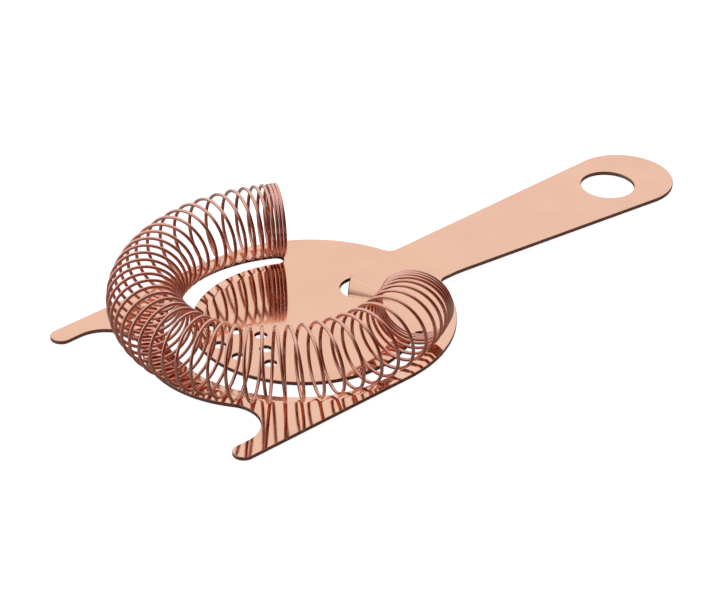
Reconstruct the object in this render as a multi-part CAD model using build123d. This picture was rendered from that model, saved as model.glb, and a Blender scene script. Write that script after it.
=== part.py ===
from build123d import *
import math
import os

# Hawthorne cocktail strainer, lying spring side up. It is drawn with the head's flat top at Z = 0,
# the handle along +Y, the ears along -Y and the spring on the +Z side, then tilted by REST_DEG so
# that the front lip and the handle's end stand on the ground. All lengths are in millimetres.

SHEET_T = 1.1

# head outline
DISC_R = 40.2
FRONT_R = 32.0
FRONT_CY = -18.0
NOTCH_R = 10.0
EAR_IN_X = 34.6
EAR_TIP_R = 3.1
EAR_TIP_CY = -56.1

# handle
BEND_Y = 46.0
BEND_DEG = 3.2
NECK_HALF_W = 9.87
HANDLE_TAPER = 0.063
HANDLE_END_CY = 120.2
NECK_FILLET = 3.0
HANG_HOLE_R = 7.7
HANG_HOLE_Y = 114.2

# C-shaped slot and its dished lips
SLOT_IN_R = 30.6
SLOT_IN_CY = -2.1
SLOT_OUT_R = 36.1
SLOT_OUT_CY = -4.5
SLOT_START_DEG = 152.0
SLOT_END_DEG = 395.0
LIP_W = 3.4
LIP_DROP = 0.6

# perforations in the inner plate, a little to the left of the handle's line like the spring
PERF_R = 1.7
PERF_X = -1.6
PERF_CENTRES = [
    (0.0, -16.1), (-6.05, -19.6), (6.05, -19.6), (-12.2, -23.3), (12.2, -23.3), (-3.9, -27.5), (3.9, -27.5),
]

# half-tube pressed up out of the sheet for the spring's tail
TUBE_MOUTH = (-3.8, 18.3)
TUBE_DEG = 18.0
TUBE_LEN = 18.0
TUBE_HALF_W = 4.4
TUBE_RISE = 2.4
TUBE_WALL = 0.95
TUBE_LEAD = 6.0
TUBE_TOE = 0.12
MOUTH_NEAR = (-0.6, 14.6)
MOUTH_FAR = (-7.0, 22.0)
MOUTH_BULGE = (-5.8, 16.4)

# spring
WIRE_D = 0.95
COIL_R = 9.95
COIL_Z = 10.65
PATH_C = (-1.9, -7.9)
PATH_A = 35.6
PATH_B = 38.5
PATH_START_DEG = 146.5
CLOSED_PITCH = 1.0
CLOSED_TURNS = 3
EASE_STEPS = [2.6, 3.6, 4.4, 5.1]
OPEN_RUNS = [(6, 6.4), (16, 5.65), (6, 6.2), (7, 6.9)]
TAIL_FROM_DEG = -75.0
TAIL_R = 1.5
TAIL_END_Z = -1.0

# lying on a table
REST_DEG = 1.4232


def polar(centre, radius, deg):
    a = math.radians(deg)
    return (centre[0] + radius * math.cos(a), centre[1] + radius * math.sin(a))


def arc_points(centre, radius, deg_0, deg_1):
    """Start, middle and end of an arc."""
    return [polar(centre, radius, d) for d in (deg_0, (deg_0 + deg_1) / 2, deg_1)]


def angle_to(centre, point):
    return math.degrees(math.atan2(point[1] - centre[1], point[0] - centre[0]))


def head_face():
    """Disc, front rim and ears, drawn for the right side and mirrored."""
    notch_x = EAR_IN_X - NOTCH_R
    notch_dy = math.sqrt((FRONT_R + NOTCH_R) ** 2 - notch_x ** 2)
    notch = (notch_x, FRONT_CY - notch_dy)
    front = (0.0, FRONT_CY)
    tip = (EAR_IN_X + EAR_TIP_R, EAR_TIP_CY)
    rim_deg = angle_to(front, notch)
    span = math.hypot(*tip)
    side_deg = math.degrees(math.acos((DISC_R - EAR_TIP_R) / span)) + angle_to((0, 0), tip)
    join_y = math.sqrt(DISC_R ** 2 - NECK_HALF_W ** 2)

    rim = arc_points(front, FRONT_R, -90, rim_deg)
    notch_arc = arc_points(notch, NOTCH_R, rim_deg + 180, 0)
    tip_arc = arc_points(tip, EAR_TIP_R, -180, side_deg)
    disc = arc_points((0, 0), DISC_R, side_deg, 90)
    edges = [
        ThreePointArc(*rim),
        ThreePointArc(*notch_arc),
        Line(notch_arc[2], tip_arc[0]),
        ThreePointArc(*tip_arc),
        Line(tip_arc[2], disc[0]),
        ThreePointArc(*disc),
        Line(disc[2], rim[0]),
    ]
    right = make_face(Wire(edges))
    neck = Polyline(
        (-NECK_HALF_W, 0), (NECK_HALF_W, 0), (NECK_HALF_W, BEND_Y), (-NECK_HALF_W, BEND_Y), close=True)
    face = right + mirror(right, about=Plane.YZ) + make_face(neck)
    corners = [v for v in face.vertices() if abs(v.Y - join_y) < 0.5 and abs(abs(v.X) - NECK_HALF_W) < 0.5]
    return fillet(corners, NECK_FILLET)


def handle_face():
    """Tapered handle, wider towards its round end."""
    slope_deg = math.degrees(math.atan(HANDLE_TAPER))
    end_c = (0.0, HANDLE_END_CY)
    half = NECK_HALF_W + HANDLE_TAPER * (HANDLE_END_CY - BEND_Y)
    end_r = half * math.cos(math.radians(slope_deg))
    end_arc = arc_points(end_c, end_r, -slope_deg, 180 + slope_deg)
    edges = [
        Line((-NECK_HALF_W, BEND_Y), (NECK_HALF_W, BEND_Y)),
        Line((NECK_HALF_W, BEND_Y), end_arc[0]),
        ThreePointArc(*end_arc),
        Line(end_arc[2], (-NECK_HALF_W, BEND_Y)),
    ]
    return make_face(Wire(edges)) - Pos(0, HANG_HOLE_Y) * Circle(HANG_HOLE_R)


def slot_wire(grow, z):
    """The C-shaped slot's outline, grown by the given amount, at height z."""
    c_in = (0.0, SLOT_IN_CY)
    c_out = (0.0, SLOT_OUT_CY)
    gap = SLOT_IN_CY - SLOT_OUT_CY
    ends = []
    for deg in (SLOT_START_DEG, SLOT_END_DEG):
        along = gap * math.sin(math.radians(deg))
        top = SLOT_OUT_R ** 2 - SLOT_IN_R ** 2 - gap ** 2 - 2 * SLOT_IN_R * along
        end_r = top / (2 * (SLOT_IN_R + SLOT_OUT_R + along))
        centre = polar(c_in, SLOT_IN_R + end_r, deg)
        out_deg = angle_to(c_out, centre)
        ends.append((centre, end_r + grow, deg, out_deg))
    (e0, r0, in0, out0), (e1, r1, in1, out1) = ends
    out1 += 360
    outer = arc_points(c_out, SLOT_OUT_R + grow, out0, out1)
    inner = arc_points(c_in, SLOT_IN_R - grow, in1, in0)
    cap_1 = polar(e1, r1, (in1 + out1) / 2 + 90)
    cap_0 = polar(e0, r0, (in0 + out0) / 2 - 90)
    edges = [
        ThreePointArc(*outer),
        ThreePointArc(outer[2], cap_1, inner[0]),
        ThreePointArc(*inner),
        ThreePointArc(inner[2], cap_0, outer[0]),
    ]
    return Pos(0, 0, z) * Wire(edges)


def dish(top_z):
    """Shallow trough with sloping walls that narrows down to the slot."""
    return Solid.make_loft([slot_wire(LIP_W, top_z), slot_wire(0, top_z - LIP_DROP)], ruled=True)


def tube_cone(inset):
    """Cone whose part above the sheet is the half-tube, shrunk by the given wall."""
    full_r = (TUBE_HALF_W ** 2 + TUBE_RISE ** 2) / (2 * TUBE_RISE)
    sink = full_r - TUBE_RISE
    frame = Plane(origin=(*TUBE_MOUTH, 0), x_dir=polar((0, 0), 1, TUBE_DEG + 90) + (0,),
                  z_dir=polar((0, 0), 1, TUBE_DEG) + (0,))
    rings = []
    for along in (-TUBE_LEAD, TUBE_LEN * (1 - TUBE_TOE)):
        scale = 1 - along / TUBE_LEN
        radius = max(full_r * scale - inset, 0.05)
        rings.append(frame * Pos(0, -sink * scale, along) * Wire.make_circle(radius))
    return Solid.make_loft(rings, ruled=True)


def beyond_mouth():
    """Everything on the open side of the half-tube's mouth."""
    (x0, y0), (x1, y1) = MOUTH_NEAR, MOUTH_FAR
    ux, uy = (x1 - x0) / math.dist(MOUTH_NEAR, MOUTH_FAR), (y1 - y0) / math.dist(MOUTH_NEAR, MOUTH_FAR)
    reach = 20
    a = (x0 - reach * ux, y0 - reach * uy)
    b = (x1 + reach * ux, y1 + reach * uy)
    out = (-uy * reach, ux * reach)
    region = Polyline(a, b, (b[0] + out[0], b[1] + out[1]), (a[0] + out[0], a[1] + out[1]), close=True)
    return extrude(make_face(region), 4 * TUBE_RISE, both=True)


def strainer_plate():
    plate = extrude(head_face(), -SHEET_T)
    plate += dish(-SHEET_T)
    plate -= dish(0)
    plate -= extrude(Pos(0, 0, -2 * SHEET_T) * make_face(slot_wire(0, 0)), 3 * SHEET_T)
    for x, y in PERF_CENTRES:
        plate -= Pos(PERF_X + x, y) * Cylinder(PERF_R, 4 * SHEET_T)

    above = Pos(0, 0, -SHEET_T / 2) * Box(200, 200, 20, align=(Align.CENTER, Align.CENTER, Align.MIN))
    plate += (tube_cone(0) & above) - beyond_mouth()
    plate -= tube_cone(TUBE_WALL) - beyond_mouth()
    mouth = [ThreePointArc(MOUTH_NEAR, MOUTH_BULGE, MOUTH_FAR), Line(MOUTH_FAR, MOUTH_NEAR)]
    plate -= Pos(0, 0, -2 * SHEET_T) * extrude(make_face(Wire(mouth)), 4 * SHEET_T)

    hinge = Axis((0, BEND_Y, 0), (1, 0, 0))
    plate += extrude(handle_face(), -SHEET_T).rotate(hinge, -BEND_DEG)
    return plate


def station(deg, beyond=0.0):
    """Path point and outward direction at a path angle, moved straight on past it by beyond."""
    a = math.radians(deg)
    nx, ny = math.cos(a) / PATH_A, math.sin(a) / PATH_B
    n_len = math.hypot(nx, ny)
    out = Vector(nx / n_len, ny / n_len, 0)
    along = Vector(-out.Y, out.X, 0)
    at = Vector(PATH_C[0] + PATH_A * math.cos(a), PATH_C[1] + PATH_B * math.sin(a), COIL_Z)
    return at + along * beyond, out


def turn_stations():
    """Where each turn sits: closed and straight at both ends, eased, open between."""
    closed = [CLOSED_PITCH * n for n in range(CLOSED_TURNS, 0, -1)]
    open_steps = [step for count, step in OPEN_RUNS for _ in range(count)]
    stations = [station(PATH_START_DEG, -d) for d in closed]
    deg = PATH_START_DEG
    stations.append(station(deg))
    for step in EASE_STEPS + open_steps + EASE_STEPS[::-1]:
        deg += step
        stations.append(station(deg))
    return stations + [station(deg, d) for d in closed[::-1]]


def in_turn(turn, outward, up):
    """Point in a turn's upright plane, from the turn's centre."""
    at, out = turn
    return at + out * outward + Vector(0, 0, up)


def on_turn(turn, t_deg):
    """Point on a turn, t_deg round the wire's circle from its outer side."""
    return in_turn(turn, *polar((0, 0), COIL_R, t_deg))


def turn_arc(turn, t_0, t_1):
    return ThreePointArc(on_turn(turn, t_0), on_turn(turn, (t_0 + t_1) / 2), on_turn(turn, t_1))


def spring():
    turns = turn_stations()
    edges = [turn_arc(turns[0], -90, -180)]
    for here, ahead in zip(turns, turns[1:]):
        if here is not turns[0]:
            edges.append(turn_arc(here, 0, -180))
        start = on_turn(here, 180)
        end = on_turn(ahead, 0)
        crest = (start + end) / 2 + Vector(0, 0, (end - start).length / 2)
        edges.append(ThreePointArc(start, crest, end))
    last = turns[-1]
    edges.append(turn_arc(last, 0, TAIL_FROM_DEG))

    # tail curling down into the slot's end
    curl_c = polar(polar((0, 0), COIL_R, TAIL_FROM_DEG), TAIL_R, TAIL_FROM_DEG)
    curl = arc_points(curl_c, TAIL_R, TAIL_FROM_DEG + 180, 180)
    tail = [in_turn(last, *point) for point in curl]
    edges.append(ThreePointArc(*tail))
    edges.append(Line(tail[2], Vector(tail[2].X, tail[2].Y, TAIL_END_Z)))

    path = Wire(edges)
    profile = Plane(origin=path @ 0, z_dir=path % 0) * Circle(WIRE_D / 2)
    return sweep(profile, path=path)


lying = Rot(REST_DEG, 0, 0)
plate = lying * strainer_plate()
coil = lying * spring()
box = Compound([plate, coil]).bounding_box()
origin = Pos(-box.center().X, -box.center().Y, -box.min.Z)

os.makedirs("parts", exist_ok=True)
export_step(origin * plate, "parts/strainer_plate.step")
export_step(origin * coil, "parts/spring.step")
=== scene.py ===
import math

import bpy
import numpy as np
from mathutils import Matrix, Vector
from mathutils.geometry import delaunay_2d_cdt


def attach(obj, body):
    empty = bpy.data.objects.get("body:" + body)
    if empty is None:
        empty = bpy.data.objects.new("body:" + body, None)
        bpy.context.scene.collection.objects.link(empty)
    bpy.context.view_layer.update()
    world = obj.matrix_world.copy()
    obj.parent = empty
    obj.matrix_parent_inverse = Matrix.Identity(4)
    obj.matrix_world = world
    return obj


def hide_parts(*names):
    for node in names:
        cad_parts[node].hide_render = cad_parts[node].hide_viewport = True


# Looks of the hawthorne strainer. Lengths are millimetres in the frame the part is drawn in (head's
# flat top at z = 0, handle along +Y, spring on +Z); lie() tilts and shifts them into the row frame.

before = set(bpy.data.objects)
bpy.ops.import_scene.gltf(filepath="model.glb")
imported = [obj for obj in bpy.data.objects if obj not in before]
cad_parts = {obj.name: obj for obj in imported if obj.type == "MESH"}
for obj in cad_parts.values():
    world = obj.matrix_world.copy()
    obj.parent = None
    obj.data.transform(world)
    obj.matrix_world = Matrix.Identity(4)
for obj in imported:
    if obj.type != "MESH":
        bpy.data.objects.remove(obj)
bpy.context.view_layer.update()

# sheet
SHEET_T = 1.1
EDGE_R = 0.16
EDGE_STEP_DEG = 30
DISC_R = 40.2
FRONT_R = 32.0
FRONT_CY = -18.0
NOTCH_R = 10.0
EAR_IN_X = 34.6
EAR_TIP_R = 3.1
EAR_TIP_CY = -56.1
BEND_Y = 46.0
BEND_DEG = 3.2
BEND_REACH = 5.0
NECK_HALF_W = 9.87
HANDLE_TAPER = 0.063
HANDLE_END_CY = 120.2
NECK_FILLET = 3.0
HANG_HOLE_R = 7.7
HANG_HOLE_Y = 114.2

# slot and its lips
SLOT_IN_R = 30.6
SLOT_IN_CY = -2.1
SLOT_OUT_R = 36.1
SLOT_OUT_CY = -4.5
SLOT_START_DEG = 152.0
SLOT_END_DEG = 395.0
LIP_W = 3.4
LIP_DROP = 0.6
LIP_BEND = 0.4
LIP_SPARE = 0.1

# perforations in the inner plate
PERF_R = 1.7
PERF_X = -1.6
PERF_CENTRES = [
    (0.0, -16.1), (-6.05, -19.6), (6.05, -19.6), (-12.2, -23.3), (12.2, -23.3), (-3.9, -27.5), (3.9, -27.5),
]

# spacing of the sheet's mesh points: least distance apart, and least distance from the rims
THIN_OUT = 0.15
RIM_CLEAR = 0.22

# half-tube
TUBE_MOUTH = (-3.8, 18.3)
TUBE_DEG = 18.0
TUBE_LEN = 18.0
TUBE_HALF_W = 4.4
TUBE_RISE = 2.4
TUBE_WALL = 0.95
TUBE_FOOT = 0.3
MOUTH_NEAR = (-0.6, 14.6)
MOUTH_FAR = (-7.0, 22.0)
MOUTH_BULGE = (-5.8, 16.4)

# spring
WIRE_D = 0.95
COIL_R = 9.95
COIL_Z = 10.65
PATH_C = (-1.9, -7.9)
PATH_A = 35.6
PATH_B = 38.5
PATH_START_DEG = 146.5
CLOSED_PITCH = 1.0
CLOSED_TURNS = 3
EASE_STEPS = [2.6, 3.6, 4.4, 5.1]
OPEN_RUNS = [(6, 6.4), (16, 5.65), (6, 6.2), (7, 6.9)]
TAIL_FROM_DEG = -75.0
TAIL_R = 1.5
TAIL_END_Z = -1.0
STEPS_PER_TURN = 96
TAIL_STEPS = 14
WIRE_SIDES = 14
WIRE_CHAMFER = 0.12

# resting on the front lip and the handle's end
REST_DEG = 1.4232
REST_AT = (1.9179, -37.7386, 2.70786)

# camera
EYE = (811.635, -713.453, 684.166)
AIM = (3.1212, 15.7791, 0.0)
LENS = 234.89


def lie(p, direction=False):
    """Drawn frame in millimetres to row frame in metres."""
    p = np.asarray(p, float)
    c, s = math.cos(math.radians(REST_DEG)), math.sin(math.radians(REST_DEG))
    out = np.stack([p[..., 0], p[..., 1] * c - p[..., 2] * s, p[..., 1] * s + p[..., 2] * c], -1)
    return out if direction else (out + REST_AT) * 0.001


def unit(v):
    return v / np.linalg.norm(v, axis=-1, keepdims=True)


# ---------------------------------------------------------------- outlines, in the sheet's plane

def arc(centre, r, deg_0, deg_1, step=0.8):
    """Points on an arc, its end left out."""
    n = max(2, math.ceil(abs(math.radians(deg_1 - deg_0)) * r / step))
    a = np.radians(np.linspace(deg_0, deg_1, n, endpoint=False))
    return np.stack([centre[0] + r * np.cos(a), centre[1] + r * np.sin(a)], 1)


def line(a, b, step=1.5):
    """Points on a line, its end left out."""
    n = max(1, math.ceil(math.dist(a, b) / step))
    t = np.linspace(0, 1, n, endpoint=False)[:, None]
    return np.asarray(a) * (1 - t) + np.asarray(b) * t


def polar(centre, r, deg):
    return centre[0] + r * math.cos(math.radians(deg)), centre[1] + r * math.sin(math.radians(deg))


def angle_to(centre, p):
    return math.degrees(math.atan2(p[1] - centre[1], p[0] - centre[0]))


def plate_outline():
    """Outer outline: its right half from the front to the handle's end, then that half's mirror image."""
    notch_x = EAR_IN_X - NOTCH_R
    notch = (notch_x, FRONT_CY - math.sqrt((FRONT_R + NOTCH_R) ** 2 - notch_x ** 2))
    front = (0.0, FRONT_CY)
    tip = (EAR_IN_X + EAR_TIP_R, EAR_TIP_CY)
    rim_deg = angle_to(front, notch)
    side_deg = math.degrees(math.acos((DISC_R - EAR_TIP_R) / math.hypot(*tip))) + angle_to((0, 0), tip)
    fillet_x = NECK_HALF_W + NECK_FILLET
    fillet = (fillet_x, math.sqrt((DISC_R + NECK_FILLET) ** 2 - fillet_x ** 2))
    slope_deg = math.degrees(math.atan(HANDLE_TAPER))
    end_r = (NECK_HALF_W + HANDLE_TAPER * (HANDLE_END_CY - BEND_Y)) * math.cos(math.radians(slope_deg))
    end = (0.0, HANDLE_END_CY)
    half = np.concatenate([
        arc(front, FRONT_R, -90, rim_deg),
        arc(notch, NOTCH_R, rim_deg + 180, 0, 0.4),
        line(polar(notch, NOTCH_R, 0), polar(tip, EAR_TIP_R, 180), 1.0),
        arc(tip, EAR_TIP_R, -180, side_deg, 0.2),
        line(polar(tip, EAR_TIP_R, side_deg), polar((0, 0), DISC_R, side_deg)),
        arc((0, 0), DISC_R, side_deg, angle_to((0, 0), fillet)),
        arc(fillet, NECK_FILLET, angle_to((0, 0), fillet) + 180, 180, 0.2),
        line((NECK_HALF_W, fillet[1]), (NECK_HALF_W, BEND_Y), 0.7),
        line((NECK_HALF_W, BEND_Y), polar(end, end_r, -slope_deg), 1.0),
        arc(end, end_r, -slope_deg, 90, 0.5),
    ])
    top = np.array([[0.0, HANDLE_END_CY + end_r]])
    return np.concatenate([half, top, half[:0:-1] * (-1, 1)])


def slot_ends():
    """Centre and radius of the slot's two round ends, and their angles from the slot's two arc centres."""
    ends = []
    gap = SLOT_IN_CY - SLOT_OUT_CY
    for deg in (SLOT_START_DEG, SLOT_END_DEG):
        along = gap * math.sin(math.radians(deg))
        top = SLOT_OUT_R ** 2 - SLOT_IN_R ** 2 - gap ** 2 - 2 * SLOT_IN_R * along
        r = top / (2 * (SLOT_IN_R + SLOT_OUT_R + along))
        centre = polar((0, SLOT_IN_CY), SLOT_IN_R + r, deg)
        ends.append((centre, r, deg, angle_to((0, SLOT_OUT_CY), centre)))
    return ends


def slot_outline(grow=0.0, step=0.8):
    """The C-shaped slot's outline, grown by the given amount."""
    (e0, r0, in0, out0), (e1, r1, in1, out1) = slot_ends()
    out1 += 360
    return np.concatenate([
        arc((0, SLOT_OUT_CY), SLOT_OUT_R + grow, out0, out1, step),
        arc(e1, r1 + grow, out1, in1 + 180, step / 3),
        arc((0, SLOT_IN_CY), SLOT_IN_R - grow, in1, in0, step),
        arc(e0, r0 + grow, in0 - 180, out0, step / 3),
    ])


def mouth_outline():
    """Opening in front of the half-tube: a bulging cut and the tube's own edge."""
    (x0, y0), (x1, y1), (x2, y2) = MOUTH_NEAR, MOUTH_BULGE, MOUTH_FAR
    m = np.array([[x1 - x0, y1 - y0], [x2 - x0, y2 - y0]])
    k = np.array([x1 ** 2 - x0 ** 2 + y1 ** 2 - y0 ** 2, x2 ** 2 - x0 ** 2 + y2 ** 2 - y0 ** 2]) / 2
    centre = np.linalg.solve(m, k)
    r = math.dist(centre, MOUTH_NEAR)
    a0, a1, a2 = (angle_to(centre, p) for p in (MOUTH_NEAR, MOUTH_BULGE, MOUTH_FAR))
    while a1 > a0:
        a1 -= 360
    while a2 > a1:
        a2 -= 360
    return np.concatenate([arc(centre, r, a0, a2, 0.25), line(MOUTH_FAR, MOUTH_NEAR, 0.2)])


def circle(centre, r, step):
    return arc(centre, r, 0, 360, step)


# ---------------------------------------------------------------- the sheet's two surfaces

def soft_max(c, k):
    """max(c, 0) with its corner rounded over -k..k."""
    return np.where(c > k, c, np.where(c < -k, 0.0, (c + k) ** 2 / (4 * k)))


def slot_distance(x, y):
    """Distance in the sheet's plane from the slot's edge."""
    (e0, r0, in0, out0), (e1, r1, in1, out1) = slot_ends()
    a_out = np.degrees(np.arctan2(y - SLOT_OUT_CY, x)) % 360
    a_in = np.degrees(np.arctan2(y - SLOT_IN_CY, x)) % 360
    beside_out = (a_out >= out0 % 360) | (a_out <= out1 % 360)
    beside_in = (a_in >= in0) | (a_in <= in1 - 360)
    d_out = np.where(beside_out, np.hypot(x, y - SLOT_OUT_CY) - SLOT_OUT_R, -1e3)
    d_in = np.where(beside_in, SLOT_IN_R - np.hypot(x, y - SLOT_IN_CY), -1e3)
    ring = np.maximum(d_out, d_in)
    ring = np.where(ring < SLOT_IN_R - SLOT_OUT_R, 1e3, ring)
    caps = [np.hypot(x - e[0], y - e[1]) - r for e, r in ((e0, r0), (e1, r1))]
    return np.minimum(ring, np.minimum(*caps))


def beside_mouth(x, y):
    """True on the tube's side of its mouth."""
    ux, uy = MOUTH_FAR[0] - MOUTH_NEAR[0], MOUTH_FAR[1] - MOUTH_NEAR[1]
    return (x - MOUTH_NEAR[0]) * uy - (y - MOUTH_NEAR[1]) * ux > -1e-4


def tube_height(x, y, inset):
    """Height of the half-tube's cone above the sheet's top plane, negative beside it."""
    full_r = (TUBE_HALF_W ** 2 + TUBE_RISE ** 2) / (2 * TUBE_RISE)
    a = math.radians(TUBE_DEG)
    dx, dy = x - TUBE_MOUTH[0], y - TUBE_MOUTH[1]
    scale = 1 - (dx * math.cos(a) + dy * math.sin(a)) / TUBE_LEN
    across = np.abs(dy * math.cos(a) - dx * math.sin(a))
    r = np.maximum(full_r * scale - inset, 1e-3)
    v = np.minimum(across, 0.93 * r)
    slope = v / np.sqrt(r * r - v * v)
    z = np.sqrt(r * r - v * v) - slope * (across - v) - (full_r - TUBE_RISE) * scale
    return np.where((scale > 0.02) & beside_mouth(x, y), z, -10.0)


def lip_fall(x, y):
    """How far the lips beside the slot lie below the flat sheet."""
    fall = soft_max(LIP_W - slot_distance(x, y), LIP_BEND) * (LIP_DROP / LIP_W)
    return np.minimum(fall, LIP_DROP + LIP_SPARE)


def top_z(x, y):
    return soft_max(tube_height(x, y, 0), TUBE_FOOT) - lip_fall(x, y)


def bottom_z(x, y):
    return soft_max(tube_height(x, y, TUBE_WALL) + SHEET_T, TUBE_FOOT) - SHEET_T - lip_fall(x, y)


def bend(y):
    """Place and slope of the sheet's middle line along its length, with the neck's bend rounded."""
    full = math.radians(BEND_DEG)
    y0, y1 = BEND_Y - BEND_REACH, BEND_Y + BEND_REACH
    t = np.clip((y - y0) / (y1 - y0), 0, 1)
    angle = full * t
    span = y1 - y0
    inside = span * (t - angle ** 2 * t / 6)
    drop = span * full * t * t / 2
    beyond = np.maximum(y - y1, 0)
    at_y = np.minimum(y, y0) + inside + beyond * math.cos(full)
    at_z = -drop - beyond * math.sin(full)
    return at_y, at_z, angle


def on_sheet(q, height):
    """Points and upward normals of the sheet's top or bottom at plane points q."""
    x, y = q[:, 0], q[:, 1]
    eps = 0.03
    h = height(x, y)
    hx = (height(x + eps, y) - height(x - eps, y)) / (2 * eps)
    hy = (height(x, y + eps) - height(x, y - eps)) / (2 * eps)
    n = unit(np.stack([-hx, -hy, np.ones_like(h)], 1))
    at_y, at_z, angle = bend(y)
    c, s = np.cos(angle), np.sin(angle)
    p = np.stack([x, at_y + h * s, at_z + h * c], 1)
    n = np.stack([n[:, 0], n[:, 1] * c + n[:, 2] * s, -n[:, 1] * s + n[:, 2] * c], 1)
    return p, n


def loop_normals(loop):
    """In-plane normals pointing out of the material; loops run with the material on their left."""
    d = unit(np.roll(loop, -1, 0) - loop)
    n = np.stack([d[:, 1], -d[:, 0]], 1)
    return unit(n + np.roll(n, 1, 0))


def signed_area(loop):
    nxt = np.roll(loop, -1, 0)
    return 0.5 * np.sum(loop[:, 0] * nxt[:, 1] - nxt[:, 0] * loop[:, 1])


def inside_any(points, loops):
    """Even-odd test against all the loops together."""
    odd = np.zeros(len(points), bool)
    for loop in loops:
        a, b = loop, np.roll(loop, -1, 0)
        for start in range(0, len(points), 4000):
            p = points[start:start + 4000]
            up = (a[:, 1] > p[:, 1:2]) != (b[:, 1] > p[:, 1:2])
            dy = b[:, 1] - a[:, 1]
            dy = np.where(dy == 0, 1e-12, dy)
            cross = a[:, 0] + (p[:, 1:2] - a[:, 1]) * (b[:, 0] - a[:, 0]) / dy
            odd[start:start + 4000] ^= (np.sum(up & (p[:, 0:1] < cross), 1) % 2).astype(bool)
    return odd


def grid(xs, ys):
    gx, gy = np.meshgrid(xs, ys)
    return np.stack([gx.ravel(), gy.ravel()], 1)


def inner_points():
    """Plane points that carry the sheet's shape: coarse on flats, dense on lips, bend and half-tube."""
    lips = [slot_outline(d, 1.0) for d in np.arange(0.5, LIP_W + 1.3, 0.35)]
    neck = grid(np.arange(-12, 12.5, 2.0), np.arange(BEND_Y - BEND_REACH - 0.5, BEND_Y + BEND_REACH + 1, 0.5))
    along, across = grid(np.arange(-4.2, TUBE_LEN + 1, 0.4), np.arange(-5.6, 5.7, 0.3)).T
    a = math.radians(TUBE_DEG)
    tube = np.stack([TUBE_MOUTH[0] + along * math.cos(a) - across * math.sin(a),
                     TUBE_MOUTH[1] + along * math.sin(a) + across * math.cos(a)], 1)

    # the coarse grid keeps clear of the dense sets, and points that nearly coincide are thinned out
    clear = 1.5
    flat = grid(np.arange(-41, 42, 3.0), np.arange(-59, 135, 3.0))
    flat = flat[slot_distance(flat[:, 0], flat[:, 1]) > LIP_W + clear]
    flat = flat[[np.min(np.hypot(*(tube - p).T)) > clear for p in flat]]
    points = np.concatenate([flat, *lips, neck, tube])
    cells = np.unique(np.round(points / THIN_OUT), axis=0, return_index=True)[1]
    return points[np.sort(cells)]


def build_plate():
    """Sheet with its top, bottom and rounded edges; the edges are a second group of faces."""
    loops = [plate_outline(), slot_outline()]
    loops.append(circle((0, HANG_HOLE_Y), HANG_HOLE_R, 0.5))
    loops += [circle((PERF_X + x, y), PERF_R, 0.2) for x, y in PERF_CENTRES]
    loops.append(mouth_outline())
    for i, loop in enumerate(loops):
        if (signed_area(loop) > 0) != (i == 0):
            loops[i] = loop[::-1]
    normals = [loop_normals(loop) for loop in loops]
    rims = [loop - n * EDGE_R for loop, n in zip(loops, normals)]

    rim_all = np.concatenate(rims)
    extra = inner_points()
    extra = extra[inside_any(extra, rims)]
    keep = np.ones(len(extra), bool)
    for start in range(0, len(extra), 2000):
        p = extra[start:start + 2000]
        d = np.hypot(p[:, 0:1] - rim_all[:, 0], p[:, 1:2] - rim_all[:, 1]).min(1)
        keep[start:start + 2000] = d > RIM_CLEAR
    extra = extra[keep]

    coords = np.concatenate([rim_all, extra])
    edges, at = [], 0
    for rim in rims:
        n = len(rim)
        edges += [(at + i, at + (i + 1) % n) for i in range(n)]
        at += n
    made = delaunay_2d_cdt([Vector(c) for c in coords.tolist()], edges, [], 0, 1e-6)
    if len(made[0]) != len(coords):
        raise ValueError("the sheet's outline points run into each other")
    order = np.array([o[0] for o in made[3]])
    tris = order[np.array(made[2])]
    centres = coords[tris].mean(1)
    tris = tris[inside_any(centres, rims)]
    turn = np.cross(coords[tris[:, 1]] - coords[tris[:, 0]], coords[tris[:, 2]] - coords[tris[:, 0]])
    tris[turn < 0] = tris[turn < 0][:, ::-1]

    verts, norms, faces, edge_faces = [], [], [], []
    count = len(coords)
    top, top_n = on_sheet(coords, top_z)
    low, low_n = on_sheet(coords, bottom_z)
    verts += [top, low]
    norms += [top_n, -low_n]
    faces += tris.tolist()
    faces += (tris[:, ::-1] + count).tolist()

    at, base = 0, 2 * count
    angles = list(range(EDGE_STEP_DEG, 91, EDGE_STEP_DEG))
    for loop, n in zip(loops, normals):
        k = len(loop)
        rings = [np.arange(at, at + k)]
        for height, side, degs in ((top_z, 1, angles), (bottom_z, -1, angles[::-1])):
            for deg in degs:
                a = math.radians(deg)
                p, up = on_sheet(loop - n * EDGE_R * (1 - math.sin(a)), height)
                flat_n = np.concatenate([n, np.zeros((k, 1))], 1)
                away = unit(flat_n - up * np.sum(flat_n * up, 1, keepdims=True))
                verts.append(p - up * side * EDGE_R * (1 - math.cos(a)))
                norms.append(unit(up * side * math.cos(a) + away * math.sin(a)))
                rings.append(np.arange(base, base + k))
                base += k
        rings.append(np.arange(at + count, at + count + k))
        for r0, r1 in zip(rings, rings[1:]):
            edge_faces += np.stack([r0, r1, np.roll(r1, -1), np.roll(r0, -1)], 1).tolist()
        at += k

    return make_mesh("strainer_sheet", np.concatenate(verts), np.concatenate(norms), [faces, edge_faces])


def make_mesh(name, verts, norms, face_groups):
    mesh = bpy.data.meshes.new(name)
    faces = [f for group in face_groups for f in group]
    mesh.from_pydata(lie(verts).tolist(), [], faces)
    index = np.concatenate([np.full(len(g), i, np.int32) for i, g in enumerate(face_groups)])
    mesh.polygons.foreach_set("material_index", index)
    mesh.polygons.foreach_set("use_smooth", np.ones(len(faces), bool))
    mesh.normals_split_custom_set_from_vertices(lie(norms, True).tolist())
    mesh.update()
    obj = bpy.data.objects.new(name, mesh)
    bpy.context.scene.collection.objects.link(obj)
    return obj


# ---------------------------------------------------------------- the spring

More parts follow.
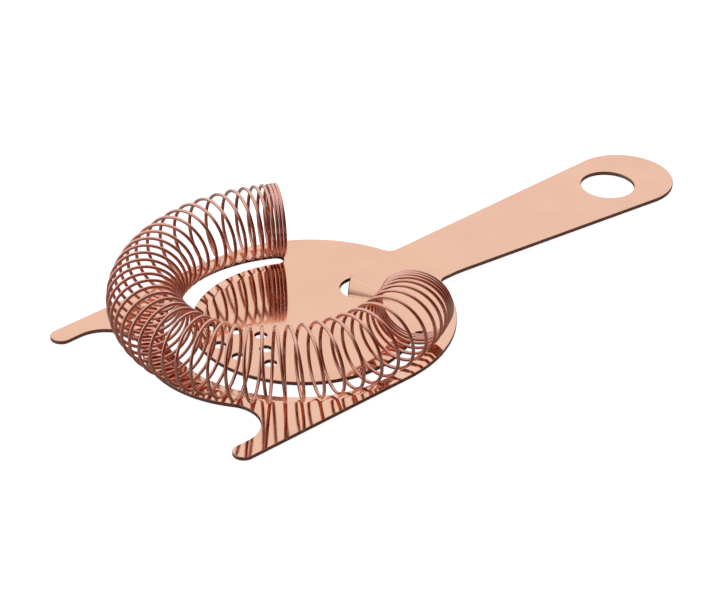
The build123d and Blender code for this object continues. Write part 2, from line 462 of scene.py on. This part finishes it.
def turn_places():
    """Path angle and straight run-on of every turn's lowest point, as in the CAD part."""
    open_steps = [step for count, step in OPEN_RUNS for _ in range(count)]
    degs = [PATH_START_DEG] * (CLOSED_TURNS + 1)
    runs = [-CLOSED_PITCH * n for n in range(CLOSED_TURNS, -1, -1)]
    for step in EASE_STEPS + open_steps + EASE_STEPS[::-1]:
        degs.append(degs[-1] + step)
        runs.append(0.0)
    degs += [degs[-1]] * CLOSED_TURNS
    runs += [CLOSED_PITCH * n for n in range(1, CLOSED_TURNS + 1)]
    return degs, runs


def build_spring():
    """Coil and tail: a round wire swept along the path of its centre line."""
    degs, runs = turn_places()
    turns = len(degs) - 1
    last = turns - (90 + TAIL_FROM_DEG) / 360
    u = np.linspace(0, last, turns * STEPS_PER_TURN + 1)
    a = np.radians(np.interp(u, range(turns + 1), degs))
    run = np.interp(u, range(turns + 1), runs)
    out = unit(np.stack([np.cos(a) / PATH_A, np.sin(a) / PATH_B, 0 * a], 1))
    along = np.stack([-out[:, 1], out[:, 0], 0 * a], 1)
    centre = np.stack([PATH_C[0] + PATH_A * np.cos(a), PATH_C[1] + PATH_B * np.sin(a), COIL_Z + 0 * a], 1)
    centre += along * run[:, None]
    t = -2 * math.pi * u - math.pi / 2
    up = np.array([0.0, 0.0, 1.0])
    path = centre + COIL_R * (out * np.cos(t)[:, None] + up * np.sin(t)[:, None])

    # tail curling down into the slot's end
    start = math.radians(TAIL_FROM_DEG)
    curl_c = path[-1] + TAIL_R * (out[-1] * math.cos(start) + up * math.sin(start))
    curl = np.radians(np.linspace(TAIL_FROM_DEG + 180, 180, TAIL_STEPS)[1:])
    tail = curl_c + TAIL_R * (np.outer(np.cos(curl), out[-1]) + np.outer(np.sin(curl), up))
    end = tail[-1].copy()
    end[2] = TAIL_END_Z
    path = np.concatenate([path, tail, [end]])
    along = np.concatenate([along, np.tile(along[-1], (len(tail) + 1, 1))])

    tangent = unit(np.gradient(path, axis=0))
    b = unit(along - tangent * np.sum(along * tangent, 1, keepdims=True))
    n = np.cross(tangent, b)
    phi = np.linspace(0, 2 * math.pi, WIRE_SIDES, endpoint=False)
    spoke = b[:, None] * np.cos(phi)[None, :, None] + n[:, None] * np.sin(phi)[None, :, None]
    rings = path[:, None] + spoke * WIRE_D / 2

    # cut ends, slightly rounded
    first = path[0] + spoke[0] * (WIRE_D / 2 - WIRE_CHAMFER) - tangent[0] * WIRE_CHAMFER
    final = path[-1] + spoke[-1] * (WIRE_D / 2 - WIRE_CHAMFER) + tangent[-1] * WIRE_CHAMFER
    verts = np.concatenate([[first], rings, [final]])
    norms = np.concatenate([[unit(spoke[0] - 2 * tangent[0])], spoke, [unit(spoke[-1] + 2 * tangent[-1])]])
    rows = len(verts)
    i = np.arange(rows - 1)[:, None] * WIRE_SIDES
    j = np.arange(WIRE_SIDES)[None, :]
    j1 = (j + 1) % WIRE_SIDES
    quads = np.stack([i + j, i + j1, i + WIRE_SIDES + j1, i + WIRE_SIDES + j], -1).reshape(-1, 4).tolist()
    caps = [list(range(WIRE_SIDES))[::-1], list(range((rows - 1) * WIRE_SIDES, rows * WIRE_SIDES))]
    return make_mesh("strainer_spring", verts.reshape(-1, 3), norms.reshape(-1, 3), [quads + caps])


# ---------------------------------------------------------------- materials

def new_material(name):
    """Material with its node tree's nodes, links and main shader."""
    mat = bpy.data.materials.new(name)
    mat.use_nodes = True
    nodes, links = mat.node_tree.nodes, mat.node_tree.links
    return mat, nodes, links, nodes["Principled BSDF"]


def ramp(nodes, stops):
    """Colour ramp from (position, colour or grey value) pairs."""
    node = nodes.new("ShaderNodeValToRGB")
    while len(node.color_ramp.elements) < len(stops):
        node.color_ramp.elements.new(0.5)
    for element, (at, value) in zip(node.color_ramp.elements, stops):
        element.position = at
        element.color = value if isinstance(value, tuple) else (value, value, value, 1)
    return node


def noise(nodes, links, scale, detail=2.0, stretch=(1, 1, 1)):
    """Noise over the object, in cycles per metre."""
    coord = nodes.new("ShaderNodeTexCoord")
    mapping = nodes.new("ShaderNodeMapping")
    mapping.inputs["Scale"].default_value = stretch
    tex = nodes.new("ShaderNodeTexNoise")
    tex.inputs["Scale"].default_value = scale
    tex.inputs["Detail"].default_value = detail
    links.new(coord.outputs["Object"], mapping.inputs["Vector"])
    links.new(mapping.outputs["Vector"], tex.inputs["Vector"])
    return tex


def polished_sheet():
    """Mirror-polished copper plating: faint clouds and polish lines, on a sheet that isn't quite flat."""
    mat, nodes, links, bsdf = new_material("polished_copper_sheet")
    bsdf.inputs["Metallic"].default_value = 1.0
    cloud = noise(nodes, links, 90.0, 3.0)
    colour = ramp(nodes, [(0.3, (0.83, 0.465, 0.305, 1)), (0.7, (0.87, 0.495, 0.33, 1))])
    links.new(cloud.outputs["Fac"], colour.inputs["Fac"])
    links.new(colour.outputs["Color"], bsdf.inputs["Base Color"])
    lines = noise(nodes, links, 900.0, 3.0, (0.08, 1.0, 1.0))
    rough = ramp(nodes, [(0.3, 0.05), (0.75, 0.085)])
    links.new(lines.outputs["Fac"], rough.inputs["Fac"])
    links.new(rough.outputs["Color"], bsdf.inputs["Roughness"])
    wave = noise(nodes, links, 55.0, 0.0)
    bump = nodes.new("ShaderNodeBump")
    bump.inputs["Strength"].default_value = 1.0
    bump.inputs["Distance"].default_value = 0.00001
    links.new(wave.outputs["Fac"], bump.inputs["Height"])
    links.new(bump.outputs["Normal"], bsdf.inputs["Normal"])
    return mat


def cut_edge_with_painted_shade():
    """The sheet's cut edge: rougher than its faces, as cut metal is, with painted shade making its colour
    darker than theirs.
    """
    mat, nodes, links, bsdf = new_material("copper_edge_painted_shade")
    bsdf.inputs["Metallic"].default_value = 1.0
    streak = noise(nodes, links, 700.0, 3.0, (1.0, 1.0, 0.3))
    # painted shade: the edge's copper gets a darker colour than the faces' to stand for the shade on the
    # edges; the streaks run along the cut
    colour = ramp(nodes, [(0.3, (0.33, 0.18, 0.13, 1)), (0.75, (0.55, 0.3, 0.215, 1))])
    links.new(streak.outputs["Fac"], colour.inputs["Fac"])
    links.new(colour.outputs["Color"], bsdf.inputs["Base Color"])
    rough = ramp(nodes, [(0.3, 0.22), (0.75, 0.36)])
    links.new(streak.outputs["Fac"], rough.inputs["Fac"])
    links.new(rough.outputs["Color"], bsdf.inputs["Roughness"])
    return mat


def drawn_wire():
    """Bright drawn copper-plated wire with faint cloudiness."""
    mat, nodes, links, bsdf = new_material("drawn_copper_wire")
    bsdf.inputs["Metallic"].default_value = 1.0
    cloud = noise(nodes, links, 260.0, 3.0)
    colour = ramp(nodes, [(0.3, (0.75, 0.375, 0.275, 1)), (0.7, (0.83, 0.435, 0.33, 1))])
    links.new(cloud.outputs["Fac"], colour.inputs["Fac"])
    links.new(colour.outputs["Color"], bsdf.inputs["Base Color"])
    grain = noise(nodes, links, 1500.0, 2.0)
    rough = ramp(nodes, [(0.3, 0.09), (0.75, 0.16)])
    links.new(grain.outputs["Fac"], rough.inputs["Fac"])
    links.new(rough.outputs["Color"], bsdf.inputs["Roughness"])
    return mat


sheet = build_plate()
for material in (polished_sheet(), cut_edge_with_painted_shade()):
    sheet.data.materials.append(material)
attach(sheet, "plate")
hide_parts("strainer_plate")

coil = build_spring()
coil.data.materials.append(drawn_wire())
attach(coil, "spring")
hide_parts("spring")


# ---------------------------------------------------------------- floor, light and camera

FLOOR_SIZE = 6.0


def make_floor():
    """White table: bright to the camera, and a mid grey in the metal's reflections."""
    mesh = bpy.data.meshes.new("floor")
    h = FLOOR_SIZE / 2
    mesh.from_pydata([(-h, -h, 0), (h, -h, 0), (h, h, 0), (-h, h, 0)], [], [(0, 1, 2, 3)])
    floor = bpy.data.objects.new("floor", mesh)
    bpy.context.scene.collection.objects.link(floor)
    mat, nodes, links, bsdf = new_material("white_table")
    bsdf.inputs["Base Color"].default_value = (0.42, 0.4, 0.39, 1)
    bsdf.inputs["Roughness"].default_value = 0.12
    bsdf.inputs["Specular IOR Level"].default_value = 0.4
    bsdf.inputs["Emission Color"].default_value = (1, 1, 1, 1)
    path = nodes.new("ShaderNodeLightPath")
    glow = nodes.new("ShaderNodeMath")
    glow.operation = "MULTIPLY"
    glow.inputs[1].default_value = 0.97
    links.new(path.outputs["Is Camera Ray"], glow.inputs[0])
    links.new(glow.outputs[0], bsdf.inputs["Emission Strength"])
    mesh.materials.append(mat)


def make_world():
    """Soft studio: bright nearly all round, with a dark reddish side; plain white to the camera."""
    world = bpy.data.worlds.new("studio")
    world.use_nodes = True
    nodes, links = world.node_tree.nodes, world.node_tree.links
    background = nodes["Background"]
    coord = nodes.new("ShaderNodeTexCoord")
    facing = nodes.new("ShaderNodeVectorMath")
    facing.operation = "DOT_PRODUCT"
    facing.inputs[1].default_value = Vector((0.93, -0.1, -0.35)).normalized()
    shade = ramp(nodes, [
        (0.0, (1.0, 1.07, 1.17, 1)),
        (0.3, (0.94, 1.0, 1.08, 1)),
        (0.56, (0.17, 0.06, 0.045, 1)),
        (1.0, (0.1, 0.022, 0.012, 1)),
    ])
    scale = nodes.new("ShaderNodeMapRange")
    scale.inputs["From Min"].default_value = -1.0
    scale.inputs["From Max"].default_value = 1.0
    links.new(coord.outputs["Generated"], facing.inputs[0])
    links.new(facing.outputs["Value"], scale.inputs["Value"])
    links.new(scale.outputs["Result"], shade.inputs["Fac"])
    path = nodes.new("ShaderNodeLightPath")
    mix = nodes.new("ShaderNodeMix")
    mix.data_type = "RGBA"
    mix.inputs["B"].default_value = (1, 1, 1, 1)
    links.new(path.outputs["Is Camera Ray"], mix.inputs["Factor"])
    links.new(shade.outputs["Color"], mix.inputs["A"])
    links.new(mix.outputs["Result"], background.inputs["Color"])
    background.inputs["Strength"].default_value = 1.0
    bpy.context.scene.world = world


def make_camera():
    """Camera with no roll against the head's plane; its place and aim are given in the drawn frame."""
    eye, aim = Vector(lie(EYE)), Vector(lie(AIM))
    back = (eye - aim).normalized()
    right = Vector(lie((0, 0, 1), True)).cross(back).normalized()
    up = back.cross(right)
    camera = bpy.data.objects.new("camera", bpy.data.cameras.new("camera"))
    camera.matrix_world = Matrix.Translation(eye) @ Matrix((right, up, back)).transposed().to_4x4()
    camera.data.sensor_width = 36.0
    camera.data.lens = LENS
    camera.data.clip_end = 20.0
    bpy.context.scene.collection.objects.link(camera)
    bpy.context.scene.camera = camera


make_floor()
make_world()
make_camera()
bpy.context.scene.view_settings.view_transform = "Standard"
